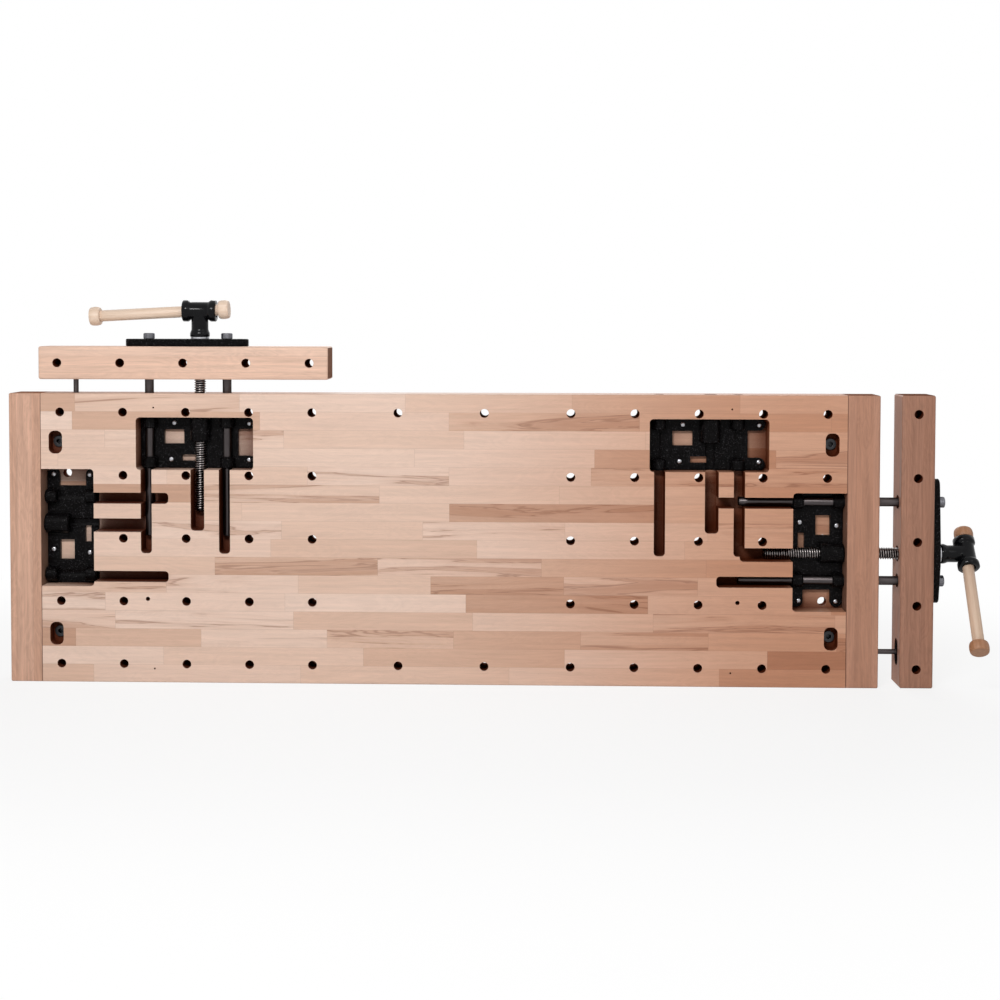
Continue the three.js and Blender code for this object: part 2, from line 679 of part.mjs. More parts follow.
function jawSolid(vise) {
  const block = chamferedBlock(JAW_LENGTH, JAW_THICKNESS, TOP_THICKNESS, JAW_CHAMFER);
  const body = solid(block.translate(vise.shift, -JAW_THICKNESS / 2, 0));
  const inner = -JAW_THICKNESS - OVERCUT;
  const axis = AXIS_HEIGHT;
  const recess = PIN_FLANGE_THICKNESS + FIT_GAP - JAW_THICKNESS;
  const flange = pinFlange(FIT_GAP, inner, recess);
  const cuts = [
    solid(along(-ROD_OFFSET, axis, JAW_ROD_BORE, inner, OVERCUT)),
    solid(along(ROD_OFFSET, axis, JAW_ROD_BORE, inner, OVERCUT)),
    solid(along(SCREW_OFFSET, axis, JAW_SCREW_BORE, inner, OVERCUT)),
    solid(along(SCREW_OFFSET, axis, JAW_COLLAR_RECESS, -JAW_COLLAR_DEPTH, OVERCUT)),
    solid(flange.translate(vise.shift + vise.pinSide * PIN_OFFSET, 0, 0)),
  ];
  for (const side of sides) {
    const u = side * PLATE_SCREW_OFFSET;
    const end = PLATE_THICKNESS - PLATE_SCREW_LENGTH - FIT_GAP;
    cuts.push(solid(along(u, axis, WOOD_SCREW_PILOT_DIAMETER, end, OVERCUT, SMALL_SEGMENTS)));
  }
  const middle = (DOG_ROWS - 1) / 2;
  for (let row = 0; row < DOG_ROWS; row += 1) {
    const u = vise.shift + (row - middle) * JAW_DOG_PITCH;
    const hole = upright(u, -JAW_THICKNESS / 2, DOG_DIAMETER, -OVERCUT, TOP_THICKNESS + OVERCUT);
    cuts.push(solid(hole));
  }
  return cut(body, cuts);
}

function pinSolid(vise) {
  const flangeOuter = PIN_FLANGE_THICKNESS - JAW_THICKNESS;
  const r = PIN_DIAMETER / 2;
  const tip = -JAW_THICKNESS - PIN_REACH;
  const shank = turned([
    [0, tip], [r - PIN_TIP, tip], [r, tip + PIN_TIP], [r, flangeOuter - FIT_GAP],
    [0, flangeOuter - FIT_GAP],
  ]);
  const flange = pinFlange(0, -JAW_THICKNESS, flangeOuter);
  const u = vise.shift + vise.pinSide * PIN_OFFSET;
  const parts = [solid(shank.translate(0, 0, AXIS_HEIGHT)), solid(flange)];
  return joined(parts).translate([u, 0, 0]);
}

function plateSolid() {
  const r = PLATE_END_RADIUS - PLATE_CHAMFER;
  const left = PLATE_LEFT + PLATE_END_RADIUS;
  const right = PLATE_RIGHT - PLATE_END_RADIUS;
  const swell = PLATE_SWELL - PLATE_CHAMFER;
  const shape = new THREE.Shape();
  shape.moveTo(left, -r);
  shape.lineTo(SCREW_OFFSET - PLATE_SWELL_HALF, -swell);
  shape.lineTo(SCREW_OFFSET + PLATE_SWELL_HALF, -swell);
  shape.absarc(right, 0, r, -Math.PI / 2, Math.PI / 2, false);
  shape.lineTo(SCREW_OFFSET + PLATE_SWELL_HALF, swell);
  shape.lineTo(SCREW_OFFSET - PLATE_SWELL_HALF, swell);
  shape.absarc(left, 0, r, Math.PI / 2, Math.PI + Math.PI / 2, false);
  const body = new THREE.ExtrudeGeometry(shape, {
    depth: PLATE_THICKNESS - FIT_GAP - 2 * PLATE_CHAMFER,
    bevelEnabled: true,
    bevelThickness: PLATE_CHAMFER,
    bevelSize: PLATE_CHAMFER,
    bevelSegments: 1,
    curveSegments: LUG_STEPS,
  });
  body.translate(0, 0, PLATE_CHAMFER + FIT_GAP).rotateX(-Math.PI / 2);
  const axis = AXIS_HEIGHT;
  const outside = PLATE_THICKNESS + OVERCUT;
  const cuts = [solid(along(SCREW_OFFSET, axis, PLATE_JOURNAL_BORE, -OVERCUT, outside))];
  for (const side of sides) {
    const u = side * PLATE_SCREW_OFFSET;
    const hole = WOOD_SCREW_PILOT_DIAMETER;
    cuts.push(solid(along(side * ROD_OFFSET, axis, PLATE_BOLT_BORE, -OVERCUT, outside)));
    cuts.push(solid(along(u, axis, hole, -OVERCUT, outside, SMALL_SEGMENTS)));
    cuts.push(solid(countersink(FIT_GAP, OVERCUT).translate(u, 0, axis)));
  }
  return cut(solid(body.translate(0, 0, axis)), cuts);
}

// The cone of a countersunk head, flush with the outer face of the plate.
function countersink(spare, above) {
  const head = PLATE_SCREW_HEAD_DIAMETER / 2 + spare;
  const shank = WOOD_SCREW_SHANK_DIAMETER / 2 + spare;
  const top = PLATE_THICKNESS;
  const neck = top - PLATE_SCREW_HEAD_DEPTH - spare;
  return turned(
    [[0, neck], [shank, neck], [head, top], [head, top + above], [0, top + above]],
    HOLE_SEGMENTS,
  );
}

function plateScrewSolid() {
  const head = PLATE_SCREW_HEAD_DIAMETER / 2;
  const shank = WOOD_SCREW_SHANK_DIAMETER / 2;
  const top = PLATE_THICKNESS;
  const neck = top - PLATE_SCREW_HEAD_DEPTH;
  const tip = top - PLATE_SCREW_LENGTH;
  const pairs = [
    [0, tip], [shank, tip + WOOD_SCREW_TIP_TAPER], [shank, neck], [head, top], [0, top],
  ];
  return solid(turned(pairs, SMALL_SEGMENTS));
}

function rodSolid() {
  const r = ROD_DIAMETER / 2;
  const tip = -ROD_LENGTH;
  const bore = ROD_TAPPED_BORE / 2;
  const floor = -ROD_TAPPED_DEPTH;
  const pairs = [
    [0, tip], [r - ROD_TIP, tip], [r, tip + ROD_TIP], [r, 0],
    [bore, 0], [bore, floor], [0, floor],
  ];
  return solid(turned(pairs));
}

function boltSolid() {
  const r = BOLT_ACROSS_FLATS / Math.sqrt(3);
  const seat = PLATE_THICKNESS + FIT_GAP;
  const top = seat + BOLT_HEAD_HEIGHT;
  const head = turned([[0, seat], [r, seat], [r, top], [0, top]], 6);
  const limit = BOLT_ACROSS_FLATS / 2;
  const ease = BOLT_HEAD_CHAMFER;
  const crown = turned([
    [0, seat], [limit + ease, seat], [limit + ease, top - ease], [limit - ease, top], [0, top],
  ]);
  const end = seat - BOLT_SHANK_LENGTH;
  const shank = along(0, 0, BOLT_SHANK_DIAMETER, end, seat + OVERCUT, HOLE_SEGMENTS);
  return solid(head).intersect(solid(crown)).add(solid(shank));
}

function leadScrewSolid() {
  const r = LEAD_SCREW_DIAMETER / 2;
  const journal = JOURNAL_DIAMETER / 2;
  const tip = -LEAD_SCREW_REACH;
  const shoulder = -JAW_COLLAR_DEPTH;
  const pairs = [
    [0, tip], [r - LEAD_SCREW_TIP, tip], [r, tip + LEAD_SCREW_TIP], [r, shoulder],
    [journal, shoulder], [journal, JOURNAL_END], [0, JOURNAL_END],
  ];
  return solid(turned(pairs));
}

function ringSolid(outer, v0, v1) {
  const r = outer / 2;
  const hole = JOURNAL_BORE / 2;
  return solid(turned([[hole, v0], [r, v0], [r, v1], [hole, v1], [hole, v0]]));
}

// Hub about the screw axis, its cross bore along u.
function hubSolid() {
  const seat = PLATE_THICKNESS + WASHER_THICKNESS + 2 * FIT_GAP;
  const foot = seat + HUB_FOOT_LENGTH;
  const neck = turned([
    [0, seat], [HUB_FOOT_RADIUS, seat], [HUB_FOOT_RADIUS, foot],
    [HUB_NECK_RADIUS, foot + HUB_FOOT_TAPER], [HUB_NECK_RADIUS, HUB_CENTRE], [0, HUB_CENTRE],
  ]);
  const half = HUB_LENGTH / 2;
  const rim = half - HUB_RIM_WIDTH;
  const waist = rim - HUB_RIM_TAPER;
  const barrel = turned([
    [0, -half], [HUB_RIM_RADIUS, -half], [HUB_RIM_RADIUS, -rim], [HUB_RADIUS, -waist],
    [HUB_RADIUS, waist], [HUB_RIM_RADIUS, rim], [HUB_RIM_RADIUS, half], [0, half],
  ]);
  barrel.rotateZ(-Math.PI / 2).translate(0, HUB_CENTRE, 0);
  const cross = along(0, 0, HANDLE_BORE, -half - OVERCUT, half + OVERCUT, BORE_SEGMENTS);
  cross.rotateZ(-Math.PI / 2).translate(0, HUB_CENTRE, 0);
  const socket = along(0, 0, JOURNAL_BORE, seat - OVERCUT, HUB_BORE_END);
  return cut(solid(neck).add(solid(barrel)), [solid(cross), solid(socket)]);
}

// Handle about its own x axis, the far end pointing to +x from the middle of the bar.
function barSolid() {
  const half = HANDLE_OVERALL / 2 - (KNOB_LENGTH - KNOB_BORE_DEPTH) - FIT_GAP;
  return solid(along(0, 0, HANDLE_DIAMETER, -half, half).rotateZ(-Math.PI / 2));
}

function knobSolid() {
  const end = HANDLE_OVERALL / 2;
  const face = end - KNOB_LENGTH;
  const bore = KNOB_BORE / 2;
  const floor = face + KNOB_BORE_DEPTH;
  const step = KNOB_SHOULDER_STEP;
  const pairs = [
    [bore, floor], [bore, face], [KNOB_END_RADIUS, face], [KNOB_SHOULDER_RADIUS, face + step],
    [KNOB_RADIUS, face + KNOB_LENGTH / 2], [KNOB_SHOULDER_RADIUS, end - step],
    [KNOB_END_RADIUS, end], [0, end],
  ];
  const points = [[0, floor], ...pairs];
  return solid(turned(points).rotateZ(-Math.PI / 2));
}

const plate = plateSolid();
const rod = rodSolid();
const bolt = boltSolid();
const plateScrew = plateScrewSolid();
const leadScrew = leadScrewSolid();
const hub = hubSolid();
const bar = barSolid();
const knob = knobSolid();
const collar = ringSolid(COLLAR_DIAMETER, -COLLAR_LENGTH - FIT_GAP, -FIT_GAP);
const washer = ringSolid(
  WASHER_DIAMETER, PLATE_THICKNESS + FIT_GAP, PLATE_THICKNESS + FIT_GAP + WASHER_THICKNESS,
);

for (const vise of fitted) {
  const call = (piece) => vise.name + "_" + piece;
  const group = new THREE.Group();
  group.position.y = vise.opening + JAW_THICKNESS;
  group.add(named(call("jaw"), jawSolid(vise), BEECH));
  group.add(named(call("guide_pin"), pinSolid(vise), STEEL));
  group.add(named(call("face_plate"), plate, IRON));
  sides.forEach((side, index) => {
    const mark = index + 1;
    const rodMesh = named(call("guide_rod_" + mark), rod, STEEL);
    const boltMesh = named(call("rod_bolt_" + mark), bolt, ZINC);
    const screwMesh = named(call("plate_screw_" + mark), plateScrew, IRON);
    rodMesh.position.set(side * ROD_OFFSET, 0, AXIS_HEIGHT);
    boltMesh.position.set(side * ROD_OFFSET, 0, AXIS_HEIGHT);
    boltMesh.rotation.y = index * BOLT_TURN_STEP;
    screwMesh.position.set(side * PLATE_SCREW_OFFSET, 0, AXIS_HEIGHT);
    group.add(rodMesh, boltMesh, screwMesh);
  });
  const spindle = new THREE.Group();
  spindle.position.set(SCREW_OFFSET, 0, AXIS_HEIGHT);
  spindle.rotation.y = vise.roll;
  spindle.add(named(call("lead_screw"), leadScrew, STEEL));
  spindle.add(named(call("retaining_collar"), collar, STEEL));
  spindle.add(named(call("thrust_washer"), washer, ZINC));
  spindle.add(named(call("handle_hub"), hub, IRON));
  const handle = new THREE.Group();
  handle.position.y = HUB_CENTRE;
  handle.rotation.z = vise.turn + (vise.turn > 0 ? HANDLE_DROOP : -HANDLE_DROOP);
  const slide = new THREE.Group();
  slide.position.x = vise.slid;
  const farKnob = named(call("handle_knob_far"), knob, BEECH_PALE);
  const nearKnob = named(call("handle_knob_near"), knob, BEECH_PALE);
  nearKnob.rotation.z = Math.PI;
  slide.add(named(call("handle_bar"), bar, BEECH_PALE), farKnob, nearKnob);
  handle.add(slide);
  spindle.add(handle);
  group.add(spindle);
  vise.at.group.add(group);
}

// Stand the bench on its rear edge, centred on that edge, underside towards -Y.
bench.rotation.x = Math.PI / 2;
bench.position.set(0, TOP_THICKNESS / 2, HALF_WIDTH);
const root = new THREE.Group();
root.add(bench);

export default root;
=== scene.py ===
"""Looks for the bench top with two fitted vises, standing on its rear edge.

Metres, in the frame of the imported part: +X along the bench, +Y out of the working face,
+Z up. The underside faces -Y, towards the camera.
"""

import json
import math

import bmesh
import bpy
from mathutils import Matrix, Vector

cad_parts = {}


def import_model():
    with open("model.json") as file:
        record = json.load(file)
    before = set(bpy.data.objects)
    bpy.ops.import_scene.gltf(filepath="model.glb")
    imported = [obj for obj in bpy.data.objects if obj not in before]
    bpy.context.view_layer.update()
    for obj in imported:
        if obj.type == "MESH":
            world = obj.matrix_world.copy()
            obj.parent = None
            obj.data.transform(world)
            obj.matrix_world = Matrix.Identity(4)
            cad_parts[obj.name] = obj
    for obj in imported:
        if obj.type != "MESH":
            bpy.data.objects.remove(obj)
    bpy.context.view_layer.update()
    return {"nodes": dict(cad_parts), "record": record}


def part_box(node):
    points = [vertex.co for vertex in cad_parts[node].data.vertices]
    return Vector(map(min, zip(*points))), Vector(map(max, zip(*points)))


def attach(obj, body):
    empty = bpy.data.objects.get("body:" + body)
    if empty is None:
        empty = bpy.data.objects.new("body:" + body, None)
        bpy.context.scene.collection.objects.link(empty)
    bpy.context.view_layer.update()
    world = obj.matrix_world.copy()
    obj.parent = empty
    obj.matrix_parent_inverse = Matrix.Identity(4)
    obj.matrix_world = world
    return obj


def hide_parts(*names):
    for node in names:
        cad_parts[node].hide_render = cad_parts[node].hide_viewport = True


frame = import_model()

MM = 0.001
UNDERSIDE = (0, -1, 0)
VISE_AXES = {"front": (0, 0, 1), "end": (1, 0, 0)}

# Rounding and smoothing of the pieces that follow a CAD solid
TIMBER_BEVEL = 0.9 * MM
CASTING_BEVEL = 0.9 * MM
BOLT_BEVEL = 0.7 * MM
THIN_BEVEL = BOLT_BEVEL / 2
BEVEL_SEGMENTS = 2
ROUND_PROFILE = 0.5
BEVEL_ANGLE = math.radians(38)
SMOOTH_ANGLE = math.radians(46)
FLAT_ANGLE = math.radians(0.5)
WELD = 0.01 * MM

# Turned pieces; a rod's tip is given as shares of its size, inwards and along
FINE_SEGMENTS = 48
SCREW_SEGMENTS = 24
ROD_TIP = 2 * MM
ROD_TIP_CURVE = ((1, 0), (1 / 3, 1 / 2), (0, 1))

# Lead screw: a flank is a share of a turn; the tip starts at a share of the radius, which
# grows by one over the rise
THREAD_LEAD = 5 * MM
THREAD_DEPTH = 2.6 * MM
THREAD_FLANK = 0.16
THREAD_STEPS = 8
THREAD_SEGMENTS = 28
TIP_SHARE = 0.75
TIP_RISE = 4 * THREAD_LEAD
SCREW_RADIUS = 12.5 * MM
ROOT_RISE = 0.5 * MM
CREST_DROP = 0.2 * MM
JOURNAL_RADIUS = 10 * MM
JOURNAL_END = 49.5 * MM
JAW_COLLAR_DEPTH = 14 * MM

# Handle
HANDLE_RADIUS = 12 * MM
HANDLE_OVERALL = 300 * MM
HANDLE_EASE = 1 * MM
KNOB_LENGTH = 22 * MM
KNOB_RADIUS = 20.25 * MM
KNOB_END_RADIUS = 16.5 * MM
KNOB_INNER_RADIUS = 15.5 * MM
KNOB_FACE_RADIUS = 13.5 * MM
KNOB_BORE_RADIUS = 12.3 * MM
KNOB_BORE_DEPTH = 14 * MM
KNOB_BORE_SPARE = 0.3 * MM
KNOB_ROUNDNESS = 0.32
KNOB_STEPS = 18

# Hub
HUB_LENGTH = 71 * MM
HUB_RADIUS = 19 * MM
HUB_RIM_RADIUS = 23 * MM
HUB_RIM_WIDTH = 10 * MM
HUB_RIM_TAPER = 8 * MM
HUB_NECK_RADIUS = 18 * MM
HUB_FOOT_RADIUS = 21 * MM
HUB_FOOT_LENGTH = 6 * MM
HUB_FOOT_TAPER = 11 * MM
HUB_BORE_RADIUS = 14.4 * MM
HUB_SOCKET_RADIUS = 10.4 * MM
HUB_SOCKET_END = 50 * MM
HUB_CENTRE = 76 * MM
HUB_SEAT = 20.6 * MM
HUB_EASE = 1.2 * MM
FLARE_STEPS = 6

# Wood screws
HEAD_RADIUS = 5.25 * MM
HEAD_EDGE = 1.4 * MM
HEAD_HEIGHT = 4 * MM
HEAD_STEPS = 8
SHANK_RADIUS = 2.5 * MM
SHANK_LENGTH = 22 * MM
POINT_LENGTH = 26 * MM
CROSS_LENGTH = 6.2 * MM
CROSS_WIDTH = 1.9 * MM
CROSS_DEPTH = 2.2 * MM
CROSS_LIFT = 0.2 * MM
CROSS_TURN = 0.7

# Staves: the margin keeps the slab's edges inside its outer rows, and the plain staves of caps
# and jaws are longer than any piece, so that these have no butt joints
TOP_WIDTH = 620 * MM
STAVE_ROWS = 16
STAVE_MARGIN = 0.1 * MM
STAVE_HEIGHT = (TOP_WIDTH + 2 * STAVE_MARGIN) / STAVE_ROWS
STAVE_LENGTH = 0.36
PLAIN_STAVE = 35 * MM
PLAIN_LENGTH = 60.0
ROWS_BELOW = 7
ROW_DRAW = 3.7
ROW_SHIFT = 5.0
RUN_START = 20.0
LENGTH_SPREAD = 0.5
LENGTH_LEAST = 0.75

# Grain: scales along, across and into the timber, then detail and distortion
FINE_GRAIN = ((5.0, 150.0, 50.0), 7.0, 0.0)
RING_GRAIN = ((4.0, 24.0, 12.0), 3.0, 1.4)
BAND_GRAIN = ((1.9, 30.0, 12.0), 4.0, 0.8)
FLECK_SCALES = (190.0, 1500.0, 500.0)
TURNED_SCALES = (170.0, 170.0, 7.0)
GRAIN_ROUGH = 0.6
GRAIN_SHIFT = 40.0
RING_COUNT = 9.0
FINE_MEAN = 0.5
FINE_SHADE = 0.34
RING_MEAN = 0.25
RING_SHADE = -0.11

# Marks in the timber: where a pattern shows, how strongly, and its tone
BAND_EDGES = (0.44, 0.66)
BAND_STRENGTH = 0.5
BAND_TONE = "a8785c"
BAND_CHOICE = 0.02
VEIN_LEVEL = 0.56
VEIN_WIDTH = 0.022
VEIN_STRENGTH = 0.42
VEIN_TONE = "7c4f39"
FLECK_EDGES = (0.66, 0.74)
FLECK_STRENGTH = 0.2
FLECK_TONE = "8a5c45"
SEAM_WIDTH = 0.35 * MM
BUTT_WIDTH = 0.4 * MM
GLUE_STRENGTH = 0.2
GLUE_TONE = "6b4433"
CAP_JOINT = 857 * MM
# Painted shade along the joint with the end caps
JOINT_SHADE_STRENGTH = 0.6
JOINT_SHADE_TONE = "3a2015"
END_EDGES = (0.75, 0.95)
END_STRENGTH = 0.75
WOOD_ROUGHNESS = (0.44, 0.62)
WOOD_SHEEN = 0.28

# Painted shade: the slab's timber turns darker and redder along this stretch, for the light
# falling off towards the +X end
SLAB_FALLOFF_STRETCH = (-0.15, 0.8)
FALLOFF_SHADE_TONE = "e9cbb8"

# Painted shade in hollows: how far a hollow's walls may be apart to darken it, and the
# openness at which it is darkest and at which it has the tone of the faces
HOLLOW_REACH = 90 * MM
HOLLOW_EDGES = (0.25, 1.0)
HOLLOW_SAMPLES = 8
PAINTED_SHADE_STRENGTH = 0.97
PAINTED_SHADE_TONE = "552310"

# What most values of a noise lie between
NOISE_SPREAD = (0.2, 0.8)
MARK_SPREAD = (0.3, 0.7)

# Sockets of a colour mix, which share their names
MIX_AMOUNT, MIX_FIRST, MIX_SECOND, MIX_RESULT = 0, 6, 7, 2

# Floor: its own glow takes over from the lit shadow between these distances
FLOOR_REACH = 30.0
FLOOR_NEAR = 0.9
FLOOR_FAR = 1.9
FLOOR_GLOW = 0.8

# Light: the world's level, and each lamp's name, place, target, size and power
AMBIENT = 0.3
LAMPS = (
    ("key", (-0.55, -2.8, 2.15), (-0.2, 0, 0.35), (1.4, 0.4), 66),
    ("fill", (2.4, -2.2, 2.4), (0.3, 0, 0.4), (1.6, 1.2), 8),
    ("back", (0.2, 2.6, 2.2), (0, 0, 0.4), (2.4, 1.2), 40),
)

# Camera, as fitted to the photograph
IMAGE_SIDE = 1000
CAMERA_PLACE = Vector((0.1973, -3.4194, 0.7855))
CAMERA_TURN = Vector((87.799, -0.085, 1.765))
FOCAL_PIXELS = 1600
CENTRE_PIXEL = Vector((485.2, 377.7))
SENSOR = 36

node_body = {
    node: body
    for body, nodes in frame["record"]["behaviour"]["bodies"].items()
    for node in nodes
}
joints = {joint["name"]: joint for joint in frame["record"]["behaviour"]["joints"]}


def rgba(tone):
    """Linear colour of a hex triple in display values (sRGB), or of a linear triple."""
    if isinstance(tone, str):
        shown = [int(tone[i : i + 2], 16) / 255 for i in (0, 2, 4)]
        tone = [v / 12.92 if v < 0.04045 else ((v + 0.055) / 1.055) ** 2.4 for v in shown]
    return (*tone, 1)


class Nodes:
    """The node tree of a new material or world, with short calls to add and join nodes."""

    def __init__(self, owner, shader="Principled BSDF"):
        owner.use_nodes = True
        self.owner = owner
        self.tree = owner.node_tree
        self.shader = self.tree.nodes[shader]

    def add(self, kind, **settings):
        node = self.tree.nodes.new(kind)
        for key, value in settings.items():
            setattr(node, key, value)
        return node

    def join(self, source, target):
        self.tree.links.new(source, target)

    def put(self, socket, value):
        if isinstance(value, bpy.types.NodeSocket):
            self.join(value, socket)
        elif isinstance(value, (str, tuple)):
            socket.default_value = rgba(value)
        else:
            socket.default_value = value

    def surface(self, name, value):
        """Sets or drives an input of the main shader."""
        self.put(self.shader.inputs[name], value)

    def math(self, operation, *values):
        node = self.add("ShaderNodeMath", operation=operation)
        for socket, value in zip(node.inputs, values):
            self.put(socket, value)
        return node.outputs[0]

    def from_whole(self, value):
        """How far a value is from the nearest whole number."""
        return self.math("PINGPONG", value, 0.5)

    def vector(self, x, y, z):
        node = self.add("ShaderNodeCombineXYZ")
        for socket, value in zip(node.inputs, (x, y, z)):
            self.put(socket, value)
        return node.outputs[0]

    def split(self, vector):
        node = self.add("ShaderNodeSeparateXYZ")
        self.join(vector, node.inputs[0])
        return node.outputs

    def length(self, vector):
        node = self.add("ShaderNodeVectorMath", operation="LENGTH")
        self.join(vector, node.inputs[0])
        return node.outputs["Value"]

    def stretched(self, values, scales, shifts=(0.0, 0.0, 0.0)):
        """A vector of three values, each times its scale plus its shift."""
        terms = zip(values, scales, shifts)
        return self.vector(*[self.math("MULTIPLY_ADD", *term) for term in terms])

    def noise(self, vector, scale=1.0, detail=4.0, rough=0.5, distortion=0.0):
        node = self.add("ShaderNodeTexNoise")
        self.put(node.inputs["Vector"], vector)
        node.inputs["Scale"].default_value = scale
        node.inputs["Detail"].default_value = detail
        node.inputs["Roughness"].default_value = rough
        node.inputs["Distortion"].default_value = distortion
        return node.outputs["Fac"]

    def random(self, vector):
        """Three values drawn for a place."""
        node = self.add("ShaderNodeTexWhiteNoise", noise_dimensions="3D")
        self.put(node.inputs["Vector"], vector)
        split = self.add("ShaderNodeSeparateColor")
        self.join(node.outputs["Color"], split.inputs[0])
        return split.outputs

    def between(self, value, low, high, out_low=0.0, out_high=1.0):
        node = self.add("ShaderNodeMapRange", interpolation_type="SMOOTHSTEP")
        for socket, item in zip(node.inputs, (value, low, high, out_low, out_high)):
            self.put(socket, item)
        return node.outputs[0]

    def mix(self, amount, first, second, blend="MIX"):
        node = self.add("ShaderNodeMix", data_type="RGBA", blend_type=blend)
        self.put(node.inputs[MIX_AMOUNT], amount)
        self.put(node.inputs[MIX_FIRST], first)
        self.put(node.inputs[MIX_SECOND], second)
        return node.outputs[MIX_RESULT]

    def ramp(self, value, stops):
        node = self.add("ShaderNodeValToRGB")
        elements = node.color_ramp.elements
        while len(elements) < len(stops):
            elements.new(0.5)
        for element, (place, tone) in zip(elements, stops):
            element.position = place
            element.color = rgba(tone)
        self.put(node.inputs[0], value)
        return node.outputs[0]

    def bump(self, height, strength, distance):
        node = self.add("ShaderNodeBump")
        node.inputs["Strength"].default_value = strength
        node.inputs["Distance"].default_value = distance
        self.put(node.inputs["Height"], height)
        self.surface("Normal", node.outputs[0])

    def place(self):
        """The place in the frame of the piece, which moves with it."""
        return self.add("ShaderNodeTexCoord").outputs["Object"]

    def seen(self):
        """1 for a ray that shows the surface: straight, in a gloss or through glass."""
        rays = self.add("ShaderNodeLightPath").outputs
        shown = self.math("MAXIMUM", rays["Is Camera Ray"], rays["Is Glossy Ray"])
        return self.math("MAXIMUM", shown, rays["Is Transmission Ray"])


